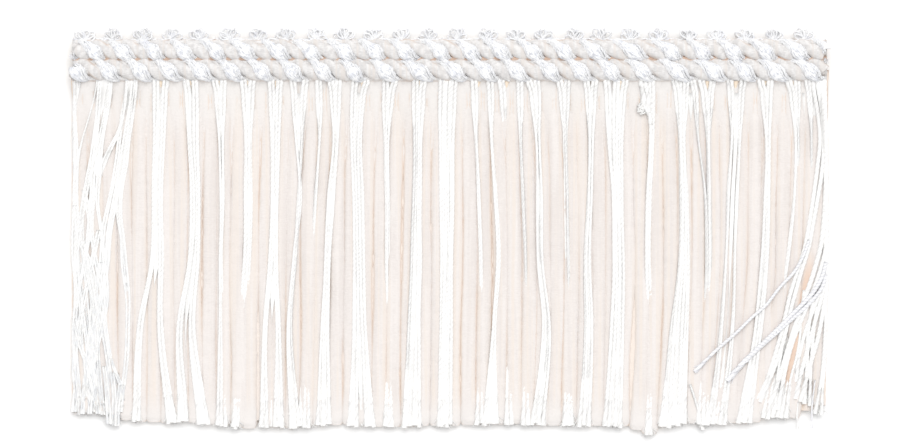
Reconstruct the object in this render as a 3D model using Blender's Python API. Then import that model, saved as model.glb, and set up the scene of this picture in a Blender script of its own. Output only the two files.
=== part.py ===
# A length of cut fringe, lying flat and face up on a surface.
# Two roped rows and an edge of picots make the heading. Below it hangs the skirt of chenille and rayon.
# Metres, +Z up. The length runs along X, the heading lies towards +Y, and Z = 0 is what it lies on.

import math
from collections import namedtuple

import bmesh
import bpy
from mathutils import Matrix, Vector

MM = 0.001

# Sizes in millimetres, measured from the middle of the fringe
LENGTH = 167.5
REPEAT = 6.35
FIRST_LOCK = -83.1
LOCKS = 27
CLEARANCE = 0.3

# The woven backing strip, with the lip along its front that holds every root
STRIP_BACK = 43.2
STRIP_HEIGHT = 0.8
LIP_BACK = 33.4
LIP_FRONT = 32.3
LIP_HEIGHT = 2.6
ROOT_DEPTH = 0.6

# The skirt
SKIRT_END = -43.2
CHENILLE_WIDTH = 2.6
CHENILLE_ROOT = 1.7
CHENILLE_HEIGHT = 1.7
CHENILLE_TOP = 0.62
CHENILLE_PLACES = (-0.25, 0.25)
YARNS_IN_PAIR = 4
YARN_WIDTH = 0.56
YARN_HEIGHT = 0.6
YARN_SPACING = 0.86
LEG_OFFSET = 0.55
LEGS_MEET = 0.2
YARN_LEVEL = CHENILLE_HEIGHT + CLEARANCE
CROSSING_LEVEL = YARN_LEVEL + YARN_HEIGHT + CLEARANCE

# Sections of the strands, as shares of their width and height, with a level base
CHENILLE_SECTION = [(-0.5, 0), (0.5, 0), (0.5 * CHENILLE_TOP, 1), (-0.5 * CHENILLE_TOP, 1)]
YARN_SECTION = [(-0.5, 0), (0.5, 0), (0, 1)]

# The places of the two fibres among an object's materials
CHENILLE_SLOT = 0
RAYON_SLOT = 1

# The roped rows of the heading
UPPER_ROW = {"y": 40.5, "radius": 2.15}
LOWER_ROW = {"y": 35.8, "radius": 2.25}
CHENILLE_LOBE = 0.92
GROOVE = 0.76
ROW_FLATTENING = 0.84
ROW_LEAD = 14.1
RINGS_PER_TURN = 8

# Where each white lobe of a row is on top, in pixels of the photograph
MM_PER_PIXEL = 0.22125
MIDDLE_PIXEL = 449.5
UPPER_LOBES = [62, 92, 121, 152, 182, 213, 244, 275, 309, 342, 373, 403, 438, 468, 497]
UPPER_LOBES += [531, 561, 593, 630, 669, 700, 729, 763, 796, 828]
LOWER_LOBES = [45, 76, 107, 138, 168, 200, 230, 260, 291, 320, 352, 383, 417, 453, 484]
LOWER_LOBES += [514, 547, 579, 608, 639, 675, 711, 742, 772, 808, 840]

# The picots and the holding stitch
PICOT_YARN = 0.36
PICOT_TIP = 45.1
PICOT_BASE = 42.75
PICOT_WIDTH = 2.9
PICOT_OFFSET = 2.5
STITCH_YARN = 0.24
STITCH_SWING = 0.35
STITCH_WAVES = 2

# One picot, as shares of its width and height
Turn = namedtuple("Turn", "side lift")
PICOT_POINTS = [
    Turn(-0.3, 0.0),
    Turn(-0.5, 0.45),
    Turn(-0.3, 0.88),
    Turn(0.0, 1.0),
    Turn(0.3, 0.88),
    Turn(0.5, 0.45),
    Turn(0.3, 0.0),
]

# How each pair of rayon locks lies, from left to right: millimetres that it leans to the right at
# the middle and at the end, how far its legs part at the middle, its fan at the end, and how much
# shorter it is
Lock = namedtuple("Lock", "lean_middle lean_end parting fan trim")
LOCK_ROWS = [
    Lock(1.2, 2.6, 0.4, 2.6, 1.6),
    Lock(-0.6, 0.4, 0.6, 3.2, 0.4),
    Lock(-1.5, -1.2, 0.8, 2.6, 1.2),
    Lock(-0.6, -1.2, 0.0, 6.6, 0.0),
    Lock(1.0, 1.2, 0.0, 5.4, 0.2),
    Lock(0.4, 0.9, 0.0, 2.6, 0.0),
    Lock(0.2, -1.1, 0.0, 2.6, 0.8),
    Lock(-0.4, -0.6, 0.0, 4.2, 0.1),
    Lock(-0.8, -1.7, 1.6, 2.7, 0.0),
    Lock(-1.5, -1.9, 0.0, 2.7, 0.3),
    Lock(-0.4, 0.3, 0.0, 4.6, 0.0),
    Lock(-0.5, -0.7, 0.0, 2.6, 0.6),
    Lock(-0.9, -1.6, 0.0, 2.9, 0.1),
    Lock(0.0, -0.9, 0.0, 2.6, 0.4),
    Lock(2.0, 2.2, 1.4, 4.2, 0.0),
    Lock(2.2, 1.3, 0.8, 2.6, 1.4),
    Lock(1.8, 0.9, 0.0, 2.6, 0.2),
    Lock(1.4, 1.6, 0.0, 2.6, 1.0),
    Lock(-0.4, 0.0, 0.0, 2.8, 0.0),
    Lock(-0.2, -2.0, 0.0, 3.2, 0.2),
    Lock(0.3, 0.3, 0.0, 2.7, -1.9),
    Lock(1.5, -0.9, 0.4, 5.0, 0.0),
    Lock(0.7, -1.4, 0.0, 2.6, 0.9),
    Lock(-0.4, -3.2, 0.6, 3.4, 0.0),
    Lock(0.5, -4.8, 0.0, 2.7, 0.6),
    Lock(0.5, -5.9, 0.0, 2.7, 3.2),
    Lock(-2.2, -8.3, 0.0, 2.6, 5.2),
]

# How the chenille lies, in sections along the length: place, lean at the middle and at the end,
# and how much shorter it is
Drape = namedtuple("Drape", "x lean_middle lean_end trim")
DRAPE_ROWS = [
    Drape(-84.0, 0.3, 0.9, 0.9),
    Drape(-72.0, 0.1, 0.5, 0.2),
    Drape(-50.0, -0.5, -0.4, 0.0),
    Drape(-28.0, -0.9, -1.2, 0.3),
    Drape(-6.0, -0.2, -0.7, 0.1),
    Drape(16.0, 0.9, 0.5, 0.0),
    Drape(38.0, 0.3, -0.6, 0.4),
    Drape(58.0, 0.0, -1.6, 0.7),
    Drape(84.0, -0.6, -2.6, 3.6),
]

# Two loose yarns that cross over the others near the right end: the bends of each and the height
# of its base
Bend = namedtuple("Bend", "x y z")
THICK_CROSSING = [
    Bend(83.15, LIP_FRONT, YARN_LEVEL),
    Bend(83.15, 22.0, YARN_LEVEL),
    Bend(83.1, 4.0, YARN_LEVEL),
    Bend(82.4, -9.0, CROSSING_LEVEL),
    Bend(78.6, -16.2, CROSSING_LEVEL),
    Bend(72.0, -23.4, CROSSING_LEVEL),
    Bend(65.4, -29.4, CROSSING_LEVEL),
    Bend(61.6, -33.6, CROSSING_LEVEL),
]
THIN_CROSSING = [
    Bend(81.95, LIP_FRONT, YARN_LEVEL),
    Bend(81.95, 22.0, YARN_LEVEL),
    Bend(81.3, 8.0, CROSSING_LEVEL),
    Bend(79.6, -1.5, CROSSING_LEVEL),
    Bend(76.2, -9.0, CROSSING_LEVEL),
    Bend(68.9, -17.0, CROSSING_LEVEL),
    Bend(60.7, -24.6, CROSSING_LEVEL),
    Bend(54.3, -31.2, CROSSING_LEVEL),
]
THICK_WIDTH = 1.1
THIN_WIDTH = 0.8

# Shares of the skirt's depth at which a strand is bent
YARN_STATIONS = [0.0, 0.07, 0.2, 0.48, 0.76, 1.0]
CHENILLE_STATIONS = [0.0, 0.07, 0.28, 0.52, 0.78, 1.0]
CUT_UNEVENNESS = 0.45

# The small knot on one yarn: which pair and yarn, its stations, and how many times thicker it is there
KNOT_LOCK = 20
KNOT_YARN = 0
KNOT_STATIONS = [0.0, 0.05, 0.065, 0.085, 0.1, 0.25, 0.5, 0.76, 1.0]
KNOT_SWELL = {0.065: 2.2, 0.085: 2.0}


def clear_scene():
    for found in list(bpy.data.objects):
        bpy.data.objects.remove(found, do_unlink=True)


def new_collection(name):
    made = bpy.data.collections.new(name)
    bpy.context.scene.collection.children.link(made)
    return made


def fibre(name, colour, roughness):
    made = bpy.data.materials.new(name)
    made.use_nodes = True
    surface = made.node_tree.nodes["Principled BSDF"]
    surface.inputs["Base Color"].default_value = (*colour, 1)
    surface.inputs["Roughness"].default_value = roughness
    surface.inputs["Metallic"].default_value = 0
    return made


def add_object(name, data, collection, *materials):
    made = bpy.data.objects.new(name, data)
    for material in materials:
        data.materials.append(material)
    collection.objects.link(made)
    return made


def mesh_of(bm, name):
    bmesh.ops.recalc_face_normals(bm, faces=bm.faces)
    bmesh.ops.scale(bm, vec=(MM, MM, MM), verts=bm.verts)
    mesh = bpy.data.meshes.new(name)
    bm.to_mesh(mesh)
    bm.free()
    return mesh


def between(low, high, share):
    return low + (high - low) * share


def eased(share):
    return share * share * (3 - 2 * share)


def lean_at(middle, end, share):
    # A lean that starts straight at the root, passes the middle value half way down, and ends at
    # the end value
    if share < 0.5:
        return middle * eased(share * 2)
    return between(middle, end, share * 2 - 1)


def unevenness(number):
    # The small steps in a cut edge
    return CUT_UNEVENNESS * (0.5 + 0.5 * math.sin(number * 2.4) * math.cos(number * 0.7))


def push_face(bm, face):
    # Extrudes a face on the spot and returns the new one. The old one stays only where it closes
    # a start.
    closes_start = all(edge.is_boundary for edge in face.edges)
    pushed = bmesh.ops.extrude_face_region(bm, geom=[face])["geom"]
    if not closes_start:
        bmesh.ops.delete(bm, geom=[face], context="FACES_ONLY")
    return next(item for item in pushed if isinstance(item, bmesh.types.BMFace))


def grow_strand(bm, section, stations, slot):
    # Pushes a flat section from station to station. A station holds the middle of its base, a width
    # and a height.
    base, width, height = stations[0]
    corners = [bm.verts.new(base + Vector((x * width, 0, z * height))) for x, z in section]
    face = bm.faces.new(corners)
    face.material_index = slot
    for next_base, next_width, next_height in stations[1:]:
        face = push_face(bm, face)
        stretch = (next_width / width, 1, next_height / height)
        bmesh.ops.scale(bm, vec=stretch, space=Matrix.Translation(-base), verts=face.verts)
        bmesh.ops.translate(bm, vec=next_base - base, verts=face.verts)
        base, width, height = next_base, next_width, next_height


def section_at(rows, x):
    # The drape between the two nearest rows of the table
    for left, right in zip(rows, rows[1:]):
        if x <= right.x:
            break
    share = eased(min(max((x - left.x) / (right.x - left.x), 0), 1))
    return Drape(*(between(a, b, share) for a, b in zip(left, right)))


def chenille_strand(bm, number):
    root = FIRST_LOCK + REPEAT * (number // 2 + 0.5 + CHENILLE_PLACES[number % 2])
    drape = section_at(DRAPE_ROWS, root)
    end = SKIRT_END + drape.trim + unevenness(number)
    stations = [(Vector((root, LIP_FRONT + ROOT_DEPTH, 0)), CHENILLE_ROOT, CHENILLE_HEIGHT)]
    for share in CHENILLE_STATIONS[1:]:
        place = Vector((root + lean_at(drape.lean_middle, drape.lean_end, share), 0, 0))
        place.y = between(LIP_FRONT, end, share)
        stations.append((place, CHENILLE_WIDTH, CHENILLE_HEIGHT))
    grow_strand(bm, CHENILLE_SECTION, stations, CHENILLE_SLOT)


def yarn_place(lock_number, yarn, share):
    # Where one of a pair's four yarns is, sideways, at a share of the skirt's depth
    lock = LOCK_ROWS[lock_number]
    middle = FIRST_LOCK + REPEAT * lock_number + lean_at(lock.lean_middle, lock.lean_end, share)
    step = yarn - (YARNS_IN_PAIR - 1) / 2
    leg = math.copysign(1, step)
    spacing = between(YARN_SPACING, lock.fan / (YARNS_IN_PAIR - 1), eased(max(share * 2 - 1, 0)))
    apart = LEG_OFFSET * (1 - eased(min(share / LEGS_MEET, 1)))
    apart += lock.parting / 2 * math.sin(math.pi * share)
    return middle + step * spacing + leg * apart


def yarn_strand(bm, lock_number, yarn):
    knotted = lock_number == KNOT_LOCK and yarn == KNOT_YARN
    shares = KNOT_STATIONS if knotted else YARN_STATIONS
    end = SKIRT_END + LOCK_ROWS[lock_number].trim
    stations = []
    for share in shares:
        swell = KNOT_SWELL.get(share, 1) if knotted else 1
        y = between(LIP_FRONT, end, share) if share else LIP_FRONT + ROOT_DEPTH
        place = Vector((yarn_place(lock_number, yarn, share), y, YARN_LEVEL))
        place.x -= (swell - 1) * YARN_WIDTH / 2
        stations.append((place, YARN_WIDTH * swell, YARN_HEIGHT * swell))
    grow_strand(bm, YARN_SECTION, stations, RAYON_SLOT)


def crossing_strand(bm, bends, width):
    root = Vector(bends[0]) + Vector((0, ROOT_DEPTH, 0))
    stations = [(root, YARN_WIDTH, YARN_HEIGHT)]
    stations += [(Vector(bend), width, YARN_HEIGHT) for bend in bends[1:]]
    grow_strand(bm, YARN_SECTION, stations, RAYON_SLOT)


def make_strands():
    bm = bmesh.new()
    for number in range(len(CHENILLE_PLACES) * (LOCKS - 1)):
        chenille_strand(bm, number)
    for lock_number in range(LOCKS):
        # The outer leg of the first pair and of the last would lie past the ends of the strip
        first = YARNS_IN_PAIR // 2 if lock_number == 0 else 0
        last = YARNS_IN_PAIR // 2 if lock_number == LOCKS - 1 else YARNS_IN_PAIR
        for yarn in range(first, last):
            yarn_strand(bm, lock_number, yarn)
    crossing_strand(bm, THICK_CROSSING, THICK_WIDTH)
    crossing_strand(bm, THIN_CROSSING, THIN_WIDTH)
    return mesh_of(bm, "strands")


def make_strip():
    # A box for the strip, whose front part is drawn up into the lip
    bm = bmesh.new()
    bmesh.ops.create_cube(bm, size=1)
    bmesh.ops.scale(bm, vec=(LENGTH, STRIP_BACK - LIP_FRONT, STRIP_HEIGHT), verts=bm.verts)
    middle = Vector((0, (STRIP_BACK + LIP_FRONT) / 2, STRIP_HEIGHT / 2))
    bmesh.ops.translate(bm, vec=middle, verts=bm.verts)
    everything = bm.verts[:] + bm.edges[:] + bm.faces[:]
    bmesh.ops.bisect_plane(bm, geom=everything, plane_co=(0, LIP_BACK, 0), plane_no=(0, 1, 0))
    tops = [face for face in bm.faces if face.normal.z > 0.9]
    lip_top = min(tops, key=lambda face: face.calc_center_median().y)
    raised = push_face(bm, lip_top)
    bmesh.ops.translate(bm, vec=(0, 0, LIP_HEIGHT - STRIP_HEIGHT), verts=raised.verts)
    return mesh_of(bm, "strip")


def make_skirt(collection, cutters, chenille, rayon):
    strands = add_object("strands", make_strands(), cutters, chenille, rayon)
    strands.hide_render = True
    strands.display_type = "WIRE"
    skirt = add_object("skirt", make_strip(), collection, chenille, rayon)
    fuse = skirt.modifiers.new("fuse the roots", "BOOLEAN")
    fuse.operation = "UNION"
    fuse.solver = "EXACT"
    fuse.object = strands


def turn_at(lobes, x):
    # The rope turns by half a turn from each white lobe to the next
    pixel = x / MM_PER_PIXEL + MIDDLE_PIXEL
    number = sum(lobe <= pixel for lobe in lobes) - 1
    number = min(max(number, 0), len(lobes) - 2)
    share = (pixel - lobes[number]) / (lobes[number + 1] - lobes[number])
    return math.pi * (number + share)


def make_row(name, row, lobes, collection, chenille, rayon):
    # A rope of four lobes, two of rayon and two of chenille that stand back a little, turned along
    # its length
    bm = bmesh.new()
    reach = [1, GROOVE, CHENILLE_LOBE, GROOVE]
    bmesh.ops.create_circle(bm, cap_ends=True, segments=2 * len(reach), radius=row["radius"])
    for vert in bm.verts:
        corner = round(math.atan2(vert.co.y, vert.co.x) / math.tau * 2 * len(reach))
        vert.co *= reach[corner % len(reach)]
    rings = round(LENGTH / ROW_LEAD * RINGS_PER_TURN)
    turns = [turn_at(lobes, LENGTH * (ring / rings - 0.5)) for ring in range(rings + 1)]
    bmesh.ops.rotate(bm, matrix=Matrix.Rotation(math.pi / 2, 3, "Y"), verts=bm.verts)
    bmesh.ops.rotate(bm, matrix=Matrix.Rotation(turns[0], 3, "X"), verts=bm.verts)
    bmesh.ops.translate(bm, vec=(-LENGTH / 2, 0, 0), verts=bm.verts)
    face = bm.faces[:][0]
    for before, after in zip(turns, turns[1:]):
        face = push_face(bm, face)
        bmesh.ops.translate(bm, vec=(LENGTH / rings, 0, 0), verts=face.verts)
        turn = Matrix.Rotation(after - before, 3, "X")
        bmesh.ops.rotate(bm, matrix=turn, verts=face.verts)
    rayon_reach = row["radius"] * (1 + CHENILLE_LOBE) / 2
    for face in bm.faces:
        standing_out = max(vert.co.yz.length for vert in face.verts) > rayon_reach
        face.material_index = RAYON_SLOT if standing_out else CHENILLE_SLOT
    bmesh.ops.scale(bm, vec=(1, 1, ROW_FLATTENING), verts=bm.verts)
    height = STRIP_HEIGHT + CLEARANCE + row["radius"] * ROW_FLATTENING
    bmesh.ops.translate(bm, vec=(0, row["y"], height), verts=bm.verts)
    mesh = mesh_of(bm, name)
    mesh.shade_smooth()
    mesh.set_sharp_from_angle(angle=math.radians(60))
    add_object(name, mesh, collection, chenille, rayon)


def yarn_curve(name, points, radius, collection, material):
    curve = bpy.data.curves.new(name, "CURVE")
    curve.dimensions = "3D"
    curve.bevel_depth = radius * MM
    curve.bevel_resolution = 0
    curve.use_fill_caps = True
    spline = curve.splines.new("POLY")
    spline.points.add(len(points) - 1)
    for point, place in zip(spline.points, points):
        point.co = (*(place * MM), 1)
    add_object(name, curve, collection, material)


def make_picots(collection, material):
    # One small turn of yarn, pinched at its neck, stands above the upper row in each repeat
    height = STRIP_HEIGHT + CLEARANCE + PICOT_YARN
    rise = PICOT_TIP - PICOT_YARN - PICOT_BASE
    points = [Vector((-LENGTH / 2 + PICOT_YARN, PICOT_BASE, height))]
    for number in range(LOCKS - 1):
        middle = FIRST_LOCK + PICOT_OFFSET + REPEAT * number
        for side, lift in PICOT_POINTS:
            points.append(Vector((middle + side * PICOT_WIDTH, PICOT_BASE + rise * lift, height)))
    points.append(Vector((LENGTH / 2 - PICOT_YARN, PICOT_BASE, height)))
    yarn_curve("picot_edge", points, PICOT_YARN, collection, material)


def make_stitch(collection, material):
    # The thin yarn that swings to and fro on the lip and holds the roots down
    height = LIP_HEIGHT + CLEARANCE + STITCH_YARN
    middle = (LIP_BACK + LIP_FRONT) / 2
    swings = (LOCKS - 1) * STITCH_WAVES * 2
    reach = LENGTH / 2 - STITCH_YARN
    points = []
    for swing in range(swings + 1):
        side = STITCH_SWING if swing % 2 else -STITCH_SWING
        points.append(Vector((between(-reach, reach, swing / swings), middle + side, height)))
    yarn_curve("holding_stitch", points, STITCH_YARN, collection, material)


def main():
    clear_scene()
    fringe = new_collection("cut fringe")
    cutters = new_collection("cutters")
    cutters.hide_render = True
    rayon = fibre("rayon", (0.93, 0.92, 0.9), 0.35)
    chenille = fibre("chenille", (0.83, 0.74, 0.68), 0.85)
    make_skirt(fringe, cutters, chenille, rayon)
    make_row("upper_row", UPPER_ROW, UPPER_LOBES, fringe, chenille, rayon)
    make_row("lower_row", LOWER_ROW, LOWER_LOBES, fringe, chenille, rayon)
    make_picots(fringe, rayon)
    make_stitch(fringe, rayon)


main()
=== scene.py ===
import math
import random
from collections import namedtuple

import bmesh
import bpy
import numpy as np
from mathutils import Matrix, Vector, noise


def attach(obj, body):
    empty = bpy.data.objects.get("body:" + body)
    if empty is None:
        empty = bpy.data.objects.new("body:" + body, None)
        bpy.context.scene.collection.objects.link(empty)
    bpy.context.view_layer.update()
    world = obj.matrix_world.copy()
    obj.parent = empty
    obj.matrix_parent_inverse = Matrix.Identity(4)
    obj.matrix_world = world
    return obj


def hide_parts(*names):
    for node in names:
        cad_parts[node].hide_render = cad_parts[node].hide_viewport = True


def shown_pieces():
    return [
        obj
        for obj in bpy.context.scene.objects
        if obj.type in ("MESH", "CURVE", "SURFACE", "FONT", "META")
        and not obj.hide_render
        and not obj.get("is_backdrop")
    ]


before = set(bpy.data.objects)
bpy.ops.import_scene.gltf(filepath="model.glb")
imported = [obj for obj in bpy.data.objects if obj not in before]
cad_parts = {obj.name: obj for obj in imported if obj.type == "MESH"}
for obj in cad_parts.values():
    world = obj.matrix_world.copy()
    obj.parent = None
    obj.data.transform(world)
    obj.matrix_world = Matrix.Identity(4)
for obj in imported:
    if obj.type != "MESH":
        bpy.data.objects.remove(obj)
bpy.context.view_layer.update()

mm = 0.001

# The fringe in the photograph: its pixels, and how they lie on the object
photo = {
    "width": 900, "height": 447, "mmPerPixel": 0.22125, "originX": 449.5, "originY": 231,
    "firstLock": 73.8, "repeat": 28.7, "locks": 27,
}


def millimetres(pixels):
    return pixels * photo["mmPerPixel"]


def acrossAt(px):
    # Millimetres along the fringe for a column of the photograph
    return millimetres(px - photo["originX"])


def onFringe(px, py):
    return acrossAt(px), millimetres(photo["originY"] - py)


def lockAt(number):
    return photo["firstLock"] + photo["repeat"] * number


# The cut edge of the skirt, left to right, in pixels of the photograph
cutLine = [
    (70, 411), (100, 413), (125, 421), (210, 424), (232, 428), (305, 427.5), (322, 425.5), (365, 426),
    (380, 427), (450, 426), (470, 424.5), (530, 424.5), (560, 425.5), (600, 426), (632, 428), (643, 435),
    (656, 433), (668, 426), (680, 424.5), (735, 424), (762, 420), (778, 417), (828, 420),
]


def cutAt(x):
    # Where the strands end at x, in millimetres
    places = [onFringe(*spot) for spot in cutLine]
    return float(np.interp(x, [place[0] for place in places], [place[1] for place in places]))


# Small helpers for paths


def eased(share):
    share = np.clip(share, 0, 1)
    return share * share * (3 - 2 * share)


def smoothRun(stops, step):
    # A smooth line through the stops, given back as evenly spaced points
    stops = np.array(stops, float)
    reach = distances(stops)
    slopes = np.gradient(stops, reach, axis=0)
    fine = np.linspace(0, reach[-1], max(int(reach[-1] / step * 3), 12))
    part = np.clip(np.searchsorted(reach, fine, side="right") - 1, 0, len(stops) - 2)
    span = (reach[part + 1] - reach[part])[:, None]
    t = (fine - reach[part])[:, None] / span
    line = (
        (2 * t**3 - 3 * t**2 + 1) * stops[part]
        + (t**3 - 2 * t**2 + t) * span * slopes[part]
        + (3 * t**2 - 2 * t**3) * stops[part + 1]
        + (t**3 - t**2) * span * slopes[part + 1]
    )
    return evenly(line, step)


def evenly(line, step):
    along = distances(line)
    count = max(int(round(along[-1] / step)), 2) + 1
    return sampled(line, along, np.linspace(0, along[-1], count))


def distances(line):
    return np.concatenate([[0], np.cumsum(np.linalg.norm(np.diff(line, axis=0), axis=1))])


def sampled(line, along, wanted):
    return np.stack([np.interp(wanted, along, line[:, axis]) for axis in range(3)], axis=1)


def strayed(places, wavelength, seed, layer=0.5):
    # Smooth noise at places along a line
    return np.array([noise.noise(Vector((spot / wavelength, seed, layer))) for spot in places])


def wander(line, amount, wavelength, seed, firmRoot=8):
    # Lets a strand stray sideways a little, as a soft one does, but not at its root
    along = distances(line)
    line[:, 0] += amount * np.minimum(along / firmRoot, 1) * strayed(along, wavelength, seed * 7.3)
    return line


def straight(x, y, z):
    # A line through the places x or y, whichever are many
    return np.stack(np.broadcast_arrays(x, y, z), axis=1).astype(float)


def ellipse(wide, deep, count):
    ring = [math.tau * number / count for number in range(count)]
    return [(math.cos(angle) * wide, math.sin(angle) * deep) for angle in ring]


# Curves to meshes


def linked(name, data):
    made = bpy.data.objects.new(name, data)
    bpy.context.scene.collection.objects.link(made)
    return made


def profileCurve(name, corners):
    curve = bpy.data.curves.new(name, "CURVE")
    curve.dimensions = "2D"
    spline = curve.splines.new("POLY")
    spline.points.add(len(corners) - 1)
    for point, (x, y) in zip(spline.points, corners):
        point.co = (x * mm, y * mm, 0, 1)
    spline.use_cyclic_u = True
    return linked(name, curve)


# The lead of a strand that isn't twisted
noTwist = 1e9
# The room kept free at each end of the fringe
endGap = 0.3


def reachOf(gap=endGap):
    # How far a line may run to either side
    return heading["length"] / 2 - gap


# A run is one strand: its points in millimetres, how thick it is at each, and its turn at each in radians
Run = namedtuple("Run", "line sizes turns")


def untwisted(line, sizes=1.0):
    return Run(line, np.broadcast_to(sizes, len(line)), np.zeros(len(line)))


def twisted(line, lead, sizes=1.0, start=0.0):
    along = distances(line)
    leads = np.broadcast_to(lead, along.shape)
    turns = start + np.concatenate([[0], np.cumsum(np.diff(along) / leads[1:])]) * math.tau
    return Run(line, np.broadcast_to(sizes, along.shape), turns)


def meshOf(name, runs, corners, material):
    # Sweeps one cross section along every run, and welds the ends
    profile = profileCurve(name + "Section", corners)
    curve = bpy.data.curves.new(name, "CURVE")
    curve.dimensions = "3D"
    curve.bevel_mode = "OBJECT"
    curve.bevel_object = profile
    curve.use_fill_caps = True
    curve.twist_mode = "Z_UP"
    for run in runs:
        spline = curve.splines.new("POLY")
        spline.points.add(len(run.line) - 1)
        places = np.ones((len(run.line), 4))
        places[:, :3] = run.line * mm
        spline.points.foreach_set("co", places.ravel())
        spline.points.foreach_set("radius", np.array(run.sizes, float))
        spline.points.foreach_set("tilt", np.array(run.turns, float))
    swept = linked(name + "Curve", curve)
    bpy.context.view_layer.update()
    graph = bpy.context.evaluated_depsgraph_get()
    mesh = bpy.data.meshes.new_from_object(
        swept.evaluated_get(graph), preserve_all_data_layers=True, depsgraph=graph
    )
    bpy.data.objects.remove(swept, do_unlink=True)
    bpy.data.objects.remove(profile, do_unlink=True)
    bm = bmesh.new()
    bm.from_mesh(mesh)
    bmesh.ops.remove_doubles(bm, verts=bm.verts, dist=1e-7)
    bm.to_mesh(mesh)
    bm.free()
    mesh.name = name
    mesh.materials.clear()
    mesh.materials.append(material)
    mesh.shade_smooth()
    return linked(name, mesh)


def roughen(piece, layers):
    # Pushes each vertex along its normal by a few layers of noise: (amount, wavelength)
    if not layers:
        return
    mesh = piece.data
    places = np.zeros(len(mesh.vertices) * 3)
    normals = np.zeros(len(mesh.vertices) * 3)
    mesh.vertices.foreach_get("co", places)
    mesh.vertices.foreach_get("normal", normals)
    places, normals = places.reshape(-1, 3), normals.reshape(-1, 3)
    push = np.zeros(len(places))
    for amount, wavelength in layers:
        push += [amount * mm * noise.noise(Vector(spot)) for spot in places / (wavelength * mm)]
    places = places + normals * push[:, None]
    places[:, 2] = np.maximum(places[:, 2], 0)
    mesh.vertices.foreach_set("co", places.ravel())
    mesh.update()


def layPiece(name, runs, corners, material, node="skirt", rough=()):
    piece = meshOf(name, runs, corners, material)
    roughen(piece, rough)
    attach(piece, "root")
    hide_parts(node)


# Shader maths


class Value:
    # One output of a node. Sums with it add Math nodes.
    def __init__(self, finish, socket):
        self.finish, self.socket = finish, socket

    def maths(self, operation, first, second=0.0):
        return self.finish.add("ShaderNodeMath", {"operation": operation}, {0: first, 1: second})

    def __add__(self, other):
        return self.maths("ADD", self, other)

    __radd__ = __add__

    def __sub__(self, other):
        return self.maths("SUBTRACT", self, other)

    def __rsub__(self, other):
        return self.maths("SUBTRACT", other, self)

    def __mul__(self, other):
        return self.maths("MULTIPLY", self, other)

    __rmul__ = __mul__

    def cosine(self):
        return self.maths("COSINE", self)

    def size(self):
        return self.maths("ABSOLUTE", self)


class Finish:
    # One material and the ways to add nodes to it
    def __init__(self, name):
        self.material = bpy.data.materials.new(name)
        self.material.use_nodes = True
        self.tree = self.material.node_tree
        self.surface = self.tree.nodes["Principled BSDF"]

    def add(self, kind, settings=None, inputs=None, output=0):
        node = self.tree.nodes.new(kind)
        for key, value in (settings or {}).items():
            setattr(node, key, value)
        for key, value in (inputs or {}).items():
            self.feed(node.inputs[key], value)
        return Value(self, node.outputs[output])

    def feed(self, socket, value):
        if isinstance(value, Value):
            self.tree.links.new(value.socket, socket)
        elif socket.type == "RGBA":
            socket.default_value = (*value, 1)
        else:
            socket.default_value = value

    def set(self, **values):
        for key, value in values.items():
            self.feed(self.surface.inputs[key.replace("_", " ")], value)

    def place(self):
        # Object coordinates, in millimetres
        raw = self.add("ShaderNodeTexCoord", output="Object")
        return self.add("ShaderNodeVectorMath", {"operation": "SCALE"}, {0: raw, "Scale": 1 / mm})

    def axis(self, vector, letter):
        return self.add("ShaderNodeSeparateXYZ", None, {0: vector}, output=letter)

    def vector(self, x, y):
        return self.add("ShaderNodeCombineXYZ", None, {"X": x, "Y": y})

    def grain(self, place, stretch, detail=2.0, roughness=0.5):
        # Noise that is finer along some axes
        stretched = {0: place, 1: stretch}
        place = self.add("ShaderNodeVectorMath", {"operation": "MULTIPLY"}, stretched)
        return self.noise(place, 1.0, detail, roughness)

    def noise(self, vector, scale, detail=2.0, roughness=0.5):
        inputs = {"Vector": vector, "Scale": scale, "Detail": detail, "Roughness": roughness}
        return self.add("ShaderNodeTexNoise", None, inputs)

    def between(self, factor, low, high):
        # 0 where factor is at low, 1 at high
        inputs = {"Value": factor, "From Min": low, "From Max": high}
        return self.add("ShaderNodeMapRange", {"interpolation_type": "SMOOTHSTEP"}, inputs)

    def tint(self, factor, first, second):
        # A colour between two
        inputs = {0: factor, 6: first, 7: second}
        return self.add("ShaderNodeMix", {"data_type": "RGBA"}, inputs, output=2)

    def shade(self, colour, factor, limits, second):
        # The colour, and the second one where factor is past its limits
        return self.tint(self.between(factor, *limits), colour, second)

    def bump(self, height, strength, depth):
        inputs = {"Height": height, "Strength": strength, "Distance": depth * mm}
        return self.add("ShaderNodeBump", None, inputs)


# Of these colours the edge, gap, root and deep ones are painted light and shade, the deep one partly the
# warm core too; the rest are the pile's own tones
skirtPile = {
    "grain": (0.9, 0.04, 0.3), "pile": (0.7, 0.652, 0.625), "paler": (0.755, 0.712, 0.688),
    "warm": (0.745, 0.68, 0.63), "edge": (0.72, 0.61, 0.53), "edges": (0.36, 0.6),
    "gapShade": (0.72, 0.56, 0.46), "gapShadeSlope": 0.19, "gapShadeIn": (79.9, 80.8), "gapShadeOut": (81.5, 82.3),
    "gapShadeDown": (3, 12), "gapShadeEnd": (-37, -33), "rootPaintedLight": (0.765, 0.738, 0.718), "rootFrom": (20, 34),
    "rootSides": (8, 24), "tipPale": (0.745, 0.71, 0.688), "tipFrom": (35, 42),
    "rootSideShade": (0.76, 0.63, 0.53), "deep": (0.84, 0.73, 0.64), "lift": (0.9, 1.5),
    "roughness": 0.9, "sheen": 0.25,
}
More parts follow.
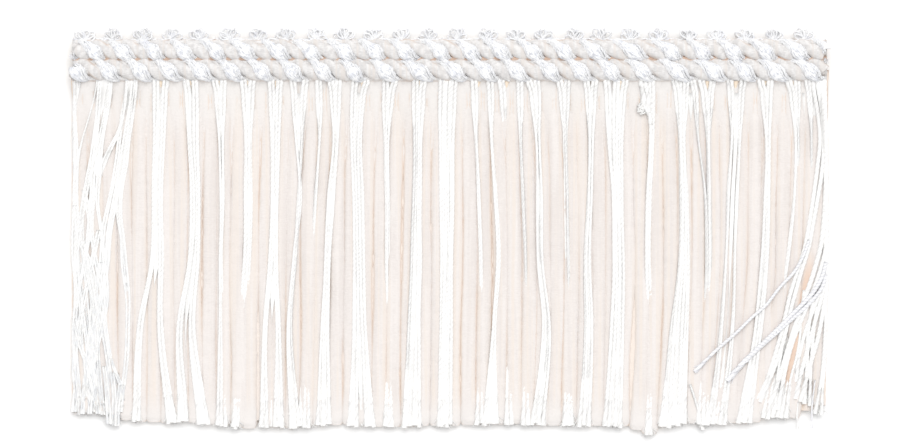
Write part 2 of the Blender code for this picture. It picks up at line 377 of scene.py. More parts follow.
# The heading's pile is the same chenille, darker and greyer as painted shade where it sits set back between
# the white lobes
headingPileShaded = {
    "grain": (1.1, 0.8, 1.0), "pile": (0.61, 0.594, 0.587), "paler": (0.75, 0.735, 0.727),
    "warm": (0.68, 0.642, 0.615), "edge": (0.62, 0.53, 0.47), "edges": (0.45, 0.75),
    "deep": (0.74, 0.53, 0.4), "lift": (2.2, 3.2), "roughness": 0.9, "sheen": 0.2,
}
# The same pile, with darker painted shade low down between the rows
paintedShadeGround = headingPileShaded | {"lift": (3.7, 4.6), "deep": (0.6, 0.44, 0.35)}
# What all pile shares: how each noise is stretched, where each shade sets in, and how the surface stands
pileGrain = {
    "tufts": (1.1, 4.5, 1.1), "fibres": (2.5, 11.0, 2.5), "tuftShare": 0.4, "shade": (0.38, 0.62),
    "bands": (1.3, 0.02, 0.2), "banded": (0.45, 0.7), "stretches": (0.35, 0.035, 0.2),
    "side": (0.55, 0.95), "rootSide": (0.5, 1.0), "rough": 0.12, "bump": (0.6, 0.12), "fuzz": 0.25,
    "fuzzMiddle": 0.48, "sheenRoughness": 0.45, "specular": 0.2,
}


def chenilleFinish(name, look):
    # Velvety pile: cool beige on top, with painted warm shade along the sides, and a warm tone low down that
    # is partly the core and partly painted light and shade
    finish = Finish(name)
    place = finish.place()
    across, length, height = (finish.axis(place, letter) for letter in "XYZ")
    patches = finish.grain(place, look["grain"])
    tufts = finish.grain(place, pileGrain["tufts"], 2.0, 0.6)
    fibres = finish.grain(place, pileGrain["fibres"], 3.0, 0.6)
    shade = patches * (1 - pileGrain["tuftShare"]) + tufts * pileGrain["tuftShare"]
    colour = finish.shade(look["pile"], shade, pileGrain["shade"], look["paler"])
    bands = finish.grain(place, pileGrain["bands"], 1.0)
    colour = finish.shade(colour, bands, pileGrain["banded"], look["warm"])
    inSkirt = "rootPaintedLight" in look
    if inSkirt:
        # Painted light: the pile is paler near the root, lifting the shade that the heading casts there
        colour = finish.shade(colour, length, look["rootFrom"], look["rootPaintedLight"])
    # Painted warm shade along the sides of a strand, where it meets the next, only for a stretch here and
    # there
    wrap = finish.add("ShaderNodeTexCoord", output="UV")
    side = (finish.axis(wrap, "Y") * math.tau).cosine().size()
    stretches = finish.grain(place, pileGrain["stretches"], 1.0)
    sideShade = finish.between(side, *pileGrain["side"]) * finish.between(stretches, *look["edges"])
    colour = finish.tint(sideShade, colour, look["edge"])
    if inSkirt:
        # All sides get painted warm shade near the root, and the pile is paler where it is cut
        rooted = finish.between(side, *pileGrain["rootSide"]) * finish.between(length, *look["rootSides"])
        colour = finish.tint(rooted, colour, look["rootSideShade"])
        colour = finish.shade(colour, 0 - length, look["tipFrom"], look["tipPale"])
        # Painted warm shade fills a sloping gap low down near the right end
        slanted = across - length * look["gapShadeSlope"]
        paintedShade = finish.between(slanted, *look["gapShadeIn"]) * (1 - finish.between(slanted, *look["gapShadeOut"]))
        paintedShade = paintedShade * finish.between(0 - length, *look["gapShadeDown"])
        paintedShade = paintedShade * finish.between(length, *look["gapShadeEnd"])
        colour = finish.tint(paintedShade, colour, look["gapShade"])
    # Low down the colour turns to the deep tone: partly the warm core, partly painted, as warm bounce light
    # in the skirt and as shade in the heading
    lift = height + (fibres - pileGrain["fuzzMiddle"]) * pileGrain["fuzz"]
    colour = finish.shade(look["deep"], lift, look["lift"], colour)
    finish.set(Base_Color=colour, Roughness=look["roughness"] - fibres * pileGrain["rough"])
    finish.set(Sheen_Weight=look["sheen"], Sheen_Roughness=pileGrain["sheenRoughness"])
    finish.set(Specular_IOR_Level=pileGrain["specular"])
    finish.set(Normal=finish.bump(fibres + tufts, *pileGrain["bump"]))
    return finish.material


skirtRayonLook = {
    "yarn": (0.895, 0.89, 0.878), "groove": (0.72, 0.712, 0.702), "filament": (0.77, 0.765, 0.757),
    "strokes": (0.3, 0.55), "roughness": 0.38, "lengthRepeats": 60, "plain": (0.34, 0.55),
    "cool": (0.8, 0.795, 0.79), "coolPatches": (0.5, 0.75), "shade": (0.725, 0.735, 0.75),
    "shadePatches": (0.42, 0.6), "shadeAcross": (69.8, 71.8), "shadeDown": (-16, 30),
}
# The shade is for the tangle alone
crossRayonLook = skirtRayonLook | {
    "yarn": (0.87, 0.87, 0.885), "groove": (0.57, 0.57, 0.61), "filament": (0.78, 0.78, 0.8),
    "lengthRepeats": 40, "plain": (0.1, 0.3), "cool": (0.8, 0.8, 0.83), "shade": None,
}
headRayonLook = crossRayonLook | {
    "yarn": (0.875, 0.875, 0.88), "groove": (0.71, 0.72, 0.75), "filament": (0.77, 0.77, 0.79),
    "roughness": 0.42, "lengthRepeats": 240, "plain": (0.3, 0.5), "cool": (0.76, 0.77, 0.81),
    "coolPatches": (0.5, 0.7),
}
# The floats are untwisted, so no line shows between plies
floatLook = headRayonLook | {
    "yarn": (0.88, 0.88, 0.885), "groove": (0.885, 0.885, 0.89), "filament": (0.56, 0.57, 0.61),
    "strokes": (0.38, 0.53), "lengthRepeats": 120, "plain": (2, 3), "cool": (0.73, 0.745, 0.79),
    "coolPatches": (0.5, 0.68),
}
rayonGrain = {
    "aroundRepeats": 26, "tight": 0.22, "patches": 0.9, "groove": (0.0, 0.55),
    "streaks": (1.7, 0.35, 1.0), "rough": 0.15, "bump": (0.4, 0.06), "specular": 0.5, "sheen": 0.1,
}


def rayonFinish(name, look):
    # Bright smooth filaments, with painted shade as a grey line between the two plies
    finish = Finish(name)
    wrap = finish.add("ShaderNodeTexCoord", output="UV")
    around, along = finish.axis(wrap, "Y"), finish.axis(wrap, "X")
    place = finish.place()
    ply = (around * math.tau).cosine().size()
    lines = finish.vector(around * rayonGrain["aroundRepeats"], along * look["lengthRepeats"])
    filaments = finish.noise(lines, 1.0, 2.0, 0.6)
    # The twist shows only in places, as it does where the yarn is drawn tight
    tight = finish.between(finish.noise(place, rayonGrain["tight"], 1.0), *look["plain"])
    patches = finish.noise(place, rayonGrain["patches"], 2.0, 0.6)
    shown = 1 - tight * (1 - finish.between(ply, *rayonGrain["groove"]))
    colour = finish.shade(look["yarn"], patches, look["coolPatches"], look["cool"])
    if look["shade"]:
        # The tangle at the left end shades itself
        across, length = finish.axis(place, "X"), finish.axis(place, "Y")
        streaks = finish.grain(place, rayonGrain["streaks"], 2.0, 0.6)
        shaded = finish.between(streaks, *look["shadePatches"])
        shaded = shaded * finish.between(0 - length, *look["shadeDown"])
        shaded = shaded * finish.between(0 - across, *look["shadeAcross"])
        colour = finish.tint(shaded, colour, look["shade"])
    # Where the twist shows, painted shade darkens the groove between the plies
    colour = finish.tint(shown, look["groove"], colour)
    colour = finish.shade(look["filament"], filaments, look["strokes"], colour)
    finish.set(Base_Color=colour, Roughness=look["roughness"] + filaments * rayonGrain["rough"])
    finish.set(Specular_IOR_Level=rayonGrain["specular"], Sheen_Weight=rayonGrain["sheen"])
    finish.set(Normal=finish.bump(filaments + ply, *rayonGrain["bump"]))
    return finish.material


weave = {
    "grain": (3.0, 14.0, 3.0), "shade": (0.3, 0.7), "dark": (0.82, 0.68, 0.53),
    "pale": (0.92, 0.81, 0.68), "roughness": 0.85, "rough": 0.1, "bump": (0.4, 0.08),
}
paper = {
    "grain": 0.6, "detail": 3.0, "dark": (0.88, 0.88, 0.88), "pale": (0.91, 0.91, 0.91),
    "roughness": 0.8, "rough": 0.1,
}


def backingFinish():
    finish = Finish("backingWeave")
    threads = finish.grain(finish.place(), weave["grain"])
    colour = finish.shade(weave["dark"], threads, weave["shade"], weave["pale"])
    finish.set(Base_Color=colour, Roughness=weave["roughness"] - threads * weave["rough"])
    finish.set(Normal=finish.bump(threads, *weave["bump"]))
    return finish.material


def floorFinish():
    finish = Finish("whitePaper")
    grain = finish.noise(finish.place(), paper["grain"], paper["detail"])
    finish.set(Base_Color=finish.tint(grain, paper["dark"], paper["pale"]))
    finish.set(Roughness=paper["roughness"] + grain * paper["rough"])
    return finish.material


# The studio

studio = {
    "lens": 180, "sensor": 36, "level": 2.0, "world": 0.96, "key": 1.35, "keySpread": 42,
    "keyHeight": 60, "keyFrom": 14, "floor": 900, "floorLevel": -0.05,
}


def makeStudio():
    scene = bpy.context.scene
    scene.view_settings.view_transform = "Standard"
    camera = bpy.data.cameras.new("camera")
    camera.lens = studio["lens"]
    camera.sensor_width = studio["sensor"]
    above = linked("camera", camera)
    x, y = onFringe(photo["width"] / 2, photo["height"] / 2)
    away = millimetres(photo["width"]) * studio["lens"] / studio["sensor"]
    above.location = (x * mm, y * mm, (away + studio["level"]) * mm)
    scene.camera = above

    world = bpy.data.worlds.new("softLight")
    world.use_nodes = True
    sky = world.node_tree.nodes["Background"]
    sky.inputs["Color"].default_value = (1, 1, 1, 1)
    sky.inputs["Strength"].default_value = studio["world"]
    scene.world = world

    key = bpy.data.lights.new("key", "SUN")
    key.energy = studio["key"]
    key.angle = math.radians(studio["keySpread"])
    lamp = linked("key", key)
    lamp.rotation_euler = (-math.radians(90 - studio["keyHeight"]), 0, -math.radians(studio["keyFrom"]))

    bm = bmesh.new()
    bmesh.ops.create_grid(bm, x_segments=1, y_segments=1, size=studio["floor"] * mm)
    bmesh.ops.translate(bm, vec=(0, 0, studio["floorLevel"] * mm), verts=bm.verts)
    mesh = bpy.data.meshes.new("floor")
    bm.to_mesh(mesh)
    bm.free()
    mesh.materials.append(floorFinish())
    floor = linked("floor", mesh)
    floor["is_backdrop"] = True
    print("studio set")


# The chenille strands of the skirt

chenille = {
    "step": 0.6, "width": 3.75, "squareness": 0.72, "below": 0.84, "above": 1.0, "rootShare": 0.8,
    "unevenness": 0.5, "roundEnd": 0.5, "places": (-0.25, 0.25),
    "near": [(0.62, 35.6, 1.76), (0.66, 32.6, 1.0), (0.75, 29.5, 0.35), (0.9, 24, 0)], "middleFrom": 22,
    "upperY": 10, "upperLean": 0.6, "stray": 0.12, "wander": (0.45, 22), "fullAt": 15, "swell": 0.06,
    "swellLength": 9, "roundTo": 0.78, "settle": (31, 8), "corners": 11,
    "rough": [(0.14, 1.6), (0.1, 0.55)],
}
# Strands that stand apart from the next one towards the cut end, and how far in millimetres
parted = {11: 0.5, 12: -0.35, 13: 0.5, 38: -0.55, 39: 0.5, 49: -0.7, 50: 1.7}
underLayer = {
    "width": 3.6, "height": 0.5, "corners": 8, "level": 0.78, "step": 2.4, "short": 1.6, "lean": 0.5,
    "near": [(34, 1.5), (30, 1.0), (24, 0.4), (14, 0.1)],
}

# How the strands lean, in sections of the length: place, then millimetres at the middle and at the end
Drape = namedtuple("Drape", "x leanMiddle leanEnd")
drapes = [
    Drape(-84.0, 0.3, 0.9),
    Drape(-72.0, 0.1, 0.5),
    Drape(-50.0, -0.5, -0.4),
    Drape(-28.0, -0.9, -1.2),
    Drape(-6.0, -0.2, -0.7),
    Drape(16.0, 0.9, 0.5),
    Drape(38.0, 0.3, -0.6),
    Drape(58.0, 0.0, -1.6),
    Drape(68.0, -0.3, -3.4),
    Drape(84.0, -0.9, -4.8),
]


def drapeAt(x):
    places = [row.x for row in drapes]
    return Drape(*(np.interp(x, places, [row[column] for row in drapes]) for column in range(3)))


def chenilleCorners():
    # A rounded section that lies flat on its lower side
    corners = []
    for number in range(chenille["corners"]):
        angle = math.tau * number / chenille["corners"]
        side, up = math.cos(angle), math.sin(angle)
        reach = chenille["above"] if up > 0 else chenille["below"]
        side = math.copysign(abs(side) ** chenille["squareness"], side)
        up = math.copysign(abs(up) ** chenille["squareness"], up)
        corners.append((side * chenille["width"] / 2, up * reach))
    return corners


def chenilleRun(number, draw):
    repeat = millimetres(photo["repeat"])
    first = acrossAt(photo["firstLock"])
    middleX = first + repeat * (number // 2 + 0.5)
    aside = repeat * chenille["places"][number % 2] + draw.uniform(-chenille["stray"], chenille["stray"])
    root = middleX + aside
    drape = drapeAt(root)
    end = cutAt(root + drape.leanEnd) + chenille["unevenness"] * draw.random()
    middle = (chenille["middleFrom"] + end) / 2
    lie = chenille["below"]
    apart = parted.get(number, 0)
    stops = [(middleX + aside * share, y, lie + rise) for share, y, rise in chenille["near"]]
    stops += [
        (root + drape.leanMiddle * chenille["upperLean"], chenille["upperY"], lie),
        (root + drape.leanMiddle, middle, lie),
        (root + (drape.leanMiddle + drape.leanEnd) / 2 + apart, (middle + end) / 2, lie),
        (root + drape.leanEnd + apart, end, lie),
    ]
    line = wander(smoothRun(stops, chenille["step"]), *chenille["wander"], number + 11)
    along = distances(line)
    sizes = chenille["rootShare"] + (1 - chenille["rootShare"]) * eased(along / chenille["fullAt"])
    sizes = sizes * (1 + chenille["swell"] * strayed(along, chenille["swellLength"], number * 3.1, 1.7))
    rounded = np.sqrt(np.clip((along[-1] - along) / chenille["roundEnd"], 0, 1))
    sizes = sizes * (chenille["roundTo"] + (1 - chenille["roundTo"]) * rounded)
    # Past the root the strand rests on the surface, however thick it is
    settleFrom, settleOver = chenille["settle"]
    line[:, 2] *= 1 - (1 - sizes) * eased((settleFrom - line[:, 1]) / settleOver)
    return untwisted(line, sizes)


# One more lies along each edge, and doesn't lean
edges = {
    "across": [
        [-82.2, -82.2, -82.1, -82.0, -81.9, -81.9, -81.9, -81.8],
        [82.4, 82.2, 82.0, 81.8, 81.7, 81.5, 81.6, 81.7],
    ],
    "ends": [-40.3, -38.6], "y": [35.6, 32.6, 29.5, 24, 8, -10, -26], "growth": 0.1,
    "z": [2.6, 1.8, 1.2, 0.84, 0.84, 0.84, 0.84, 0.84], "wander": (0.4, 22, 77),
}


def underRun(number):
    # A strand of the lower layer, seen only between those above it; lying low, it wears the pile's painted
    # warm bounce light
    repeat = millimetres(photo["repeat"]) / 2
    first = acrossAt(photo["firstLock"])
    x = first + repeat * number
    drape = drapeAt(x)
    level, end = underLayer["level"], cutAt(x + drape.leanEnd) + underLayer["short"]
    stops = [(x, y, level + rise) for y, rise in underLayer["near"]]
    stops.append((x + drape.leanMiddle, (chenille["middleFrom"] + end) / 2, level))
    stops.append((x + drape.leanEnd * underLayer["lean"], end, level))
    return untwisted(smoothRun(stops, underLayer["step"]))


def makeChenille(material):
    draw = random.Random(4)
    count = len(chenille["places"]) * (photo["locks"] - 1)
    runs = [chenilleRun(number, draw) for number in range(count)]
    for across, end in zip(edges["across"], edges["ends"]):
        edge = smoothRun(list(zip(across, edges["y"] + [end], edges["z"])), chenille["step"])
        sizes = chenille["rootShare"] + edges["growth"] * eased(distances(edge) / chenille["fullAt"])
        runs.append(untwisted(wander(edge, *edges["wander"]), sizes))
    half = count // 2
    for name, part in (("chenille_left", runs[:half]), ("chenille_right", runs[half:])):
        layPiece(name, part, chenilleCorners(), material, rough=chenille["rough"])
    runs = [underRun(number) for number in range(1, count + 1)]
    corners = ellipse(underLayer["width"] / 2, underLayer["height"], underLayer["corners"])
    layPiece("chenille_lower_layer", runs, corners, material)
    print("chenille laid:", count, "strands over", len(runs))


# The rayon yarns of the skirt

yarns = {
    "step": 0.43, "halfWidth": 0.44, "shoulder": 0.34, "lead": 2.1, "level": 1.82, "stack": 0.16,
    "rootStops": [(0.05, 34.2, 2.6), (0.1, 32.9, 3.0), (0.45, 31.2, 2.5), (0.7, 28.0, 2.1)],
    "rootShift": 1.5, "endLevel": 1.7, "pair": 3.6, "size": 1.08,
    "gaps": {"neck": 0.8, "upper": 0.75, "middle": 0.8, "lower": 1.0}, "slimming": 0.45, "wander": 0.2,
    "looseWander": 0.4, "splitApart": 0.3, "splitFrom": 90, "splitWeb": 0.6, "splitShare": 0.6,
    "droop": 0.5, "sunk": 1.0, "coreStep": 1.3, "coreSunk": 0.12, "coreWide": 0.5, "coreDeep": 0.2,
    "coreCorners": 8, "coreFan": 0.55, "bridge": 1.1, "webEnd": 1.3, "bridgeFan": 0.5,
    "bridgeStart": 0.05, "coreStart": 0.02, "coreEnd": 0.998, "coreMargin": 0.1, "skirtLength": 77,
    "fanLength": 6, "twinFan": 0.4, "uneven": (-0.3, 0.4), "wavelength": 14, "leadRange": (0.85, 1.3),
    "slimFrom": 33, "slimEnd": 3, "slimFade": 12, "loosened": (2.5, 7), "flattened": (0.4, 5),
    "sizeRange": (0.9, 1.08), "headingEdge": 90, "looseLength": 12, "droopLength": 6, "coreWidest": 9.0,
    "narrowest": 0.02,
}

# The rows of the photograph at which the yarns were followed
rows = {"neck": 131, "upper": 198, "middle": 257, "lower": 322, "end": 423}

# One leg of a lock is two yarns side by side. Its columns: the lock, then how far the leg is to the right of
# the lock in pixels at the root and at each row, its spread at the end, how full it is below the neck, and
# the row from which it sinks between the chenille strands.
Leg = namedtuple("Leg", "lock root neck upper middle lower end spread full sinks", defaults=("",))
legRows = [
    (3, -5, -4, -6, -7, -19, -24, 5, 0.8),
    (3, 5, 3, 1, 1, 0, 12, 7, 0.9),
    (4, -4, 1, 4, 2, -8, -6, 7, 0.8),
    (4, 5, 7, 9, 8, 3, 15, 9, 1.0),
    (5, -4, 2, 4, 3, 3, 2, 4, 0.4),
    (5, 5, 5, 5.5, 4, 5, 6, 5, 0.4, "lower"),
    (6, -4, 0, 0, 0, -6, -12, 2, 0.7, "lower"),
    (6, 5, 4, 4, 3, -2, -10, 2, 0.7, "lower"),
    (7, -5, -2, -2, -4, -9, -11, 5, 0.7),
    (7, 4, 3, 2, 1, 3, 4, 6, 0.7),
    (8, -12, -8, -3, -9, -15, -10, 4, 0.35),
    (8, 1, -1, -5, -8, -13, -7, 5, 0.35),
    (8, 14, 16, 12, 8, 4, 3, 4, 0.35, "middle"),
    (9, -3, 2, -3, -6, -9, -12, 5, 0.5),
    (9, 5, 5, 1, -3, -5, -6, 6, 0.5),
    (10, -7, -8, -6, -5, -5, -8, 7, 1.0),
    (10, 5, -1, 0, 1, 3, 9, 8, 1.0),
    (11, -5, -4, -3, -3, -2, -2, 4, 0.4, "lower"),
    (11, 4, -1, -1, -1, 0, 0, 4, 0.4, "middle"),
    (12, -4, -3, -4, -6, -8, -11, 6, 0.65),
    (12, 4, 2, 1, 1, 0, -2, 6, 0.7),
    (13, -6, -5, -5, -4, -4, -6, 5, 0.9),
    (13, 0, 0, 0, 0, -2, -3, 5, 1.0),
    (13, 6, 5, 5, 4, 3, 1, 5, 0.8),
    (14, -3, 0, 3, 5, 6, 4, 5, 0.35, "lower"),
    (14, 13, 16, 20, 23, 19, 15, 13, 0.5),
    (15, -5, 0, 1, 3, 4, 5, 5, 0.3, "neck"),
    (15, 14, 16, 19, 21, 22, 21, 5, 0.3, "lower"),
    (16, -6, 3, 5, 5, 11, 2, 5, 0.4),
    (16, 2, 6, 8, 9, 16, 8, 5, 0.35),
    (17, -4, 2, 4, 5, 6, 5, 5, 0.3, "upper"),
    (17, 4, 4, 5.5, 7, 8, 8, 5, 0.35, "lower"),
    (18, -6, -1, -2, -5, -4, -9, 5, 0.4),
    (18, 3, 2, 1, -1, 1, -4, 5, 0.35),
    (19, -14, -10, -5, -4, -6, -12, 5, 0.7),
    (19, -4, -4, -2, -1, -2, -7, 6, 0.9),
    (19, 5, 2, 2, 3, 2, -1, 5, 0.8),
    (20, 2, 4, 1, 0, 3, 1, 3, 0.9, "lower"),
    (21, -4, 3, 5, 4, -3, -12, 9, 0.7),
    (21, 4, 6, 8, 8, 4, -3, 9, 0.9),
    (21, 8, 8, 10, 11, 10, 4, 8, 0.5),
    (21, 14, 21, 29, 30, 28, 24, 4, 0.3, "lower"),
    (22, -6, 2, 3, 3, 0, -4, 4, 0.3, "lower"),
    (22, 6, 4, 5, 5, 3, 0, 4, 0.3, "lower"),
    (23, -6, -2, -6, -8, -12, -24, 5, 0.35),
    (23, 8, 6, 3, 1, -1, -12, 5, 0.4),
    (24, -4, 4, 3, 0, -6, -21, 6, 0.5),
    (24, 6, 6, 5, 4, -2, -16, 6, 0.6),
    (25, -5, 4, 3, -3, -12, -26, 5, 0.35, "lower"),
    (25, 4, 7, 7, 5, -2, -16, 5, 0.3, "upper"),
    (25, 14, 20, 19, 15, 8, -8, 5, 0.3, "upper"),
]
legs = [Leg(*row) for row in legRows]

# Single yarns that lie loose over the others. Each row is a width, a height and a lead, then the stops in
# pixels, across and down in turn.
Loose = namedtuple("Loose", "width level lead stops")


def looseRows(*rows):
    return [Loose(*row[:3], row[3:]) for row in rows]


looseYarns = looseRows(
    # The sheaf that sweeps down from the right edge, and two loose sticks
    (1.3, 1.85, 2.6, 813, 84, 818, 112, 820, 140, 817, 170, 813, 200, 809, 225, 805, 247, 798, 268,
        791, 292, 785, 318, 779, 342, 773, 364, 766, 382, 757, 399),
    (1.3, 1.95, 2.6, 817, 84, 822, 114, 824, 142, 822, 172, 817, 202, 813, 226, 809, 248, 802, 270,
        795, 294, 788, 320, 781, 345, 774, 366, 768, 384, 760, 402),
    (1.3, 1.85, 2.6, 820, 84, 825, 120, 826, 160, 826, 195, 825, 222, 822, 245, 816, 266, 810, 284,
        802, 306, 794, 328, 788, 348, 782, 370, 776, 390, 770, 404),
    (1.3, 2.0, 2.6, 822, 84, 826, 130, 826, 180, 826, 220, 826, 244, 822, 263, 816, 282, 808, 302, 800, 322,
        793, 342, 788, 360, 783, 380, 777, 410),
    (1.15, 1.9, 2.3, 823, 84, 826, 150, 826, 230, 826, 268, 821, 288, 814, 308, 807, 328, 802, 346,
        798, 364, 796, 382),
    (1.35, 1.9, 2.4, 823, 84, 826, 160, 826, 250, 825, 285, 820, 306, 814, 328, 808, 350, 802, 372,
        796, 399),
    (1.3, 2.0, 2.4, 824, 84, 826, 170, 826, 260, 826, 296, 823, 316, 818, 338, 811, 360, 805, 382,
        801, 402),
    (0.9, 1.8, 2.0, 804, 290, 802, 311, 800, 338, 796, 358, 791, 376, 788, 396, 787, 412),
    (0.9, 1.95, 1.8, 786, 322, 781, 350, 777, 376, 775, 405),
    (1.0, 1.85, 2.0, 826, 300, 826, 330, 824, 350, 821, 376, 818, 396, 815, 414),
    (0.8, 1.75, 2.0, 826, 330, 825, 352, 824, 378, 823, 400, 822, 415),
    (1.2, 1.85, 2.2, 813, 300, 808, 336, 807, 370, 805, 404),
    (1.1, 1.9, 2.2, 817, 306, 813, 340, 811, 372, 810, 406),
    (0.5, 1.8, 3.0, 798, 402, 797, 416, 797, 429),
    (0.8, 1.95, 2.6, 690, 384, 696, 404, 704, 430),
)
# The tangle of the first three locks, whose yarns have come apart
tangledYarns = looseRows(
    (1.2, 1.72, 2.4, 80, 84, 78, 95, 75, 112, 74, 140, 75, 180, 78, 230, 83, 280, 89, 330, 92, 380,
        90, 414),
    (1.2, 1.74, 2.4, 75, 84, 75, 112, 76, 150, 75, 200, 74, 250, 76, 300, 75, 350, 76, 390, 74, 412),
    (1.2, 1.83, 2.2, 99, 84, 97, 110, 94, 135, 91, 160, 86, 190, 80, 225, 76, 260, 80, 300, 86, 340,
        88, 380, 86, 412),
    (1.2, 1.88, 2.2, 101, 84, 99, 112, 96, 140, 94, 170, 92, 205, 88, 240, 82, 275, 76, 310, 75, 345,
        78, 385, 80, 415),
    (1.2, 1.77, 2.2, 110, 84, 106, 110, 102, 135, 98, 165, 94, 195, 92, 225, 96, 262, 102, 300, 105, 325,
        113, 365, 121, 385),
    (1.2, 1.86, 2.2, 112, 84, 108, 112, 103, 140, 99, 170, 97, 200, 101, 230, 104, 262, 106, 300, 100, 335,
        94, 370, 96, 412),
    (0.8, 1.92, 1.7, 97, 84, 93, 104, 88, 122, 82, 140, 77, 160, 75, 190, 76, 240, 80, 300, 84, 360,
        88, 413),
    (1.1, 1.92, 1.5, 109, 84, 105, 108, 100, 135, 95, 160, 88, 185, 82, 215, 84, 250, 92, 290, 98, 330,
        98, 355, 100, 385, 103, 415),
    (1.3, 1.94, 2.4, 127, 84, 122, 118, 118, 132, 110, 149, 103, 164, 97, 178),
    (1.2, 1.77, 2.2, 127, 84, 124, 105, 120, 130, 117, 155, 113, 180, 108, 205, 103, 230, 101, 262, 98, 300,
        92, 345, 84, 385, 82, 414),
    (1.2, 1.86, 2.2, 132, 84, 129, 112, 126, 135, 122, 160, 118, 185, 113, 210, 109, 235, 108, 262,
        104, 290, 96, 320, 88, 350, 90, 400),
    (1.1, 1.83, 1.5, 135, 84, 131, 112, 127, 138, 124, 165, 120, 190, 119, 215, 123, 240, 125, 262,
        127, 290, 126, 306),
    (1.2, 1.77, 2.0, 137, 84, 133, 115, 128, 140, 125, 168, 121, 192, 120, 215, 122, 240, 124, 262,
        128, 300, 127, 330, 124, 375, 119, 412),
    (1.1, 1.91, 2.0, 99, 230, 92, 262, 84, 300, 77, 340, 74, 372, 78, 408),
    (1.1, 1.86, 2.0, 75, 205, 80, 240, 90, 262, 97, 300, 104, 335, 110, 372, 112, 400),
    (1.0, 1.99, 1.7, 74, 318, 80, 345, 88, 368, 94, 396, 98, 414),
    (1.0, 1.91, 1.7, 100, 262, 95, 300, 96, 340, 90, 372, 80, 398),
    (1.1, 1.8, 5, 104, 366, 107, 390, 110, 424),
    (1.2, 1.85, 5, 112, 372, 114, 396, 113, 425),
    (1.1, 1.8, 5, 121, 380, 118, 400, 117, 426),
    (1.0, 1.83, 2.0, 84, 190, 90, 225, 86, 262, 92, 300, 90, 345, 96, 380, 104, 410),
)

# Those with a tight grey twist, which cross near the right end
crossingYarns = looseRows(
    (1.25, 2.4, 1.7, 826, 262, 822, 276, 814, 290, 803, 303, 790, 316, 776, 330, 761, 345, 747, 359,
        728, 381),
    (1.2, 2.32, 1.7, 826, 274, 822, 287, 813, 299, 801, 311, 788, 322, 774, 335, 759, 349, 747, 361,
        732, 377),
    (0.95, 2.5, 1.7, 809, 240, 803, 256, 795, 270, 780, 287, 765, 306, 752, 317, 735, 334, 715, 352,
        695, 372),
    (0.5, 2.3, 3.0, 815, 380, 812, 405, 811, 428),
)


def sixCorners(out, up, side):
    # The section of two plies side by side
    return [(out, 0), (side, up), (-side, up), (-out, 0), (-side, -up), (side, -up)]


def yarnCorners():
    return sixCorners(yarns["halfWidth"], yarns["shoulder"], yarns["halfWidth"] / 2)


def legRun(leg, side, number, draw):
    lock = lockAt(leg.lock)
    endX = acrossAt(lock + leg.end)
    end = cutAt(endX) + draw.uniform(*yarns["uneven"])
    share = millimetres(side - 0.5)
    level = yarns["level"] + yarns["stack"] * (number % 3)
    stops = []
    for towardNeck, y, z in yarns["rootStops"]:
        aside = (leg.root + yarns["rootShift"]) * (1 - towardNeck) + leg.neck * towardNeck
        x = acrossAt(lock + aside)
        stops.append((x + share * yarns["pair"], y, z))
    sunk = False
    for row in rows:
        sunk = sunk or row == leg.sinks
        x, y = onFringe(lock + getattr(leg, row), rows[row])
        gap = leg.spread if row == "end" else yarns["pair"] * leg.full * yarns["gaps"][row]
        z = yarns["sunk"] if sunk else level
        if row == "end":
            y, z = end, yarns["endLevel"]
        stops.append((x + share * gap, y, z))
    line = smoothRun(stops, yarns["step"])
    wander(line, yarns["wander"], yarns["wavelength"], number * 1.7)
    # Slim legs thin out below the neck, and open again at the cut end
    _, neck = onFringe(0, rows["neck"])
    slim = eased((yarns["slimFrom"] - line[:, 1]) / (yarns["slimFrom"] - neck))
    slim = slim * eased((line[:, 1] - end - yarns["slimEnd"]) / yarns["slimFade"])
    width = yarns["size"] * (1 - slim * (1 - leg.full) * yarns["slimming"])
    return softEnd(line, yarns["lead"] * draw.uniform(*yarns["leadRange"]), draw, width)


def legCore(first, second, fan, start=yarns["coreStart"], widest=yarns["coreWidest"]):
    # Filaments that lie flat between two yarns, no wider than widest, and fan out at the cut end
    count = int(distances(first.line)[-1] / yarns["coreStep"])
    shares = np.linspace(start, yarns["coreEnd"], count)
    sides = []
    for run in (first, second):
        along = distances(run.line) / distances(run.line)[-1]
        sides.append(sampled(run.line, along, shares))
    apart = np.linalg.norm(sides[1] - sides[0], axis=1)
    middle = (sides[0] + sides[1]) / 2 - (0, 0, yarns["coreSunk"])
    opened = 1 - eased((1 - shares) * yarns["skirtLength"] / yarns["fanLength"])
    halves = (apart / 2 + yarns["coreMargin"] + yarns["coreFan"] * fan * opened) / yarns["coreWide"]
    halves = halves * (1 - eased((apart - widest) / yarns["webEnd"]))
    return untwisted(middle, np.maximum(halves, yarns["narrowest"]))


def softEnd(line, lead, draw, width):
    # Twisted at the top, looser and flatter towards the cut end
    along = distances(line)
    left = along[-1] - along
    (looser, looseEnd), (wider, wideEnd) = yarns["loosened"], yarns["flattened"]
    leads = lead * (1 + looser * (1 - eased(left / looseEnd)))
    sizes = width * (1 + wider * (1 - eased(left / wideEnd))) * draw.uniform(*yarns["sizeRange"])
    return twisted(line, leads, sizes, draw.uniform(0, math.tau))


def looseRun(loose, draw, aside=0.0, share=1.0):
    spots = list(zip(loose.stops[::2], loose.stops[1::2]))
    top = spots[0][1]
    rooted = top < yarns["headingEdge"]
    stops = []
    for px, py in spots:
        x, y = onFringe(px, py)
        parting = min((py - top * rooted) / yarns["splitFrom"], 1)
        stops.append((x + aside * parting, y, loose.level))
    if rooted:
        stops[:1] = [(stops[0][0], y, z) for _, y, z in yarns["rootStops"][:2]]
    line = smoothRun(stops, yarns["step"])
    wander(line, yarns["looseWander"], yarns["looseLength"], draw.uniform(0, 90))
    along = distances(line)
    drooping = 1 - eased((along[-1] - along) / yarns["droopLength"])
    line[:, 2] -= yarns["droop"] * drooping * (loose.level > yarns["level"])
    return softEnd(line, loose.lead, draw, loose.width * share)


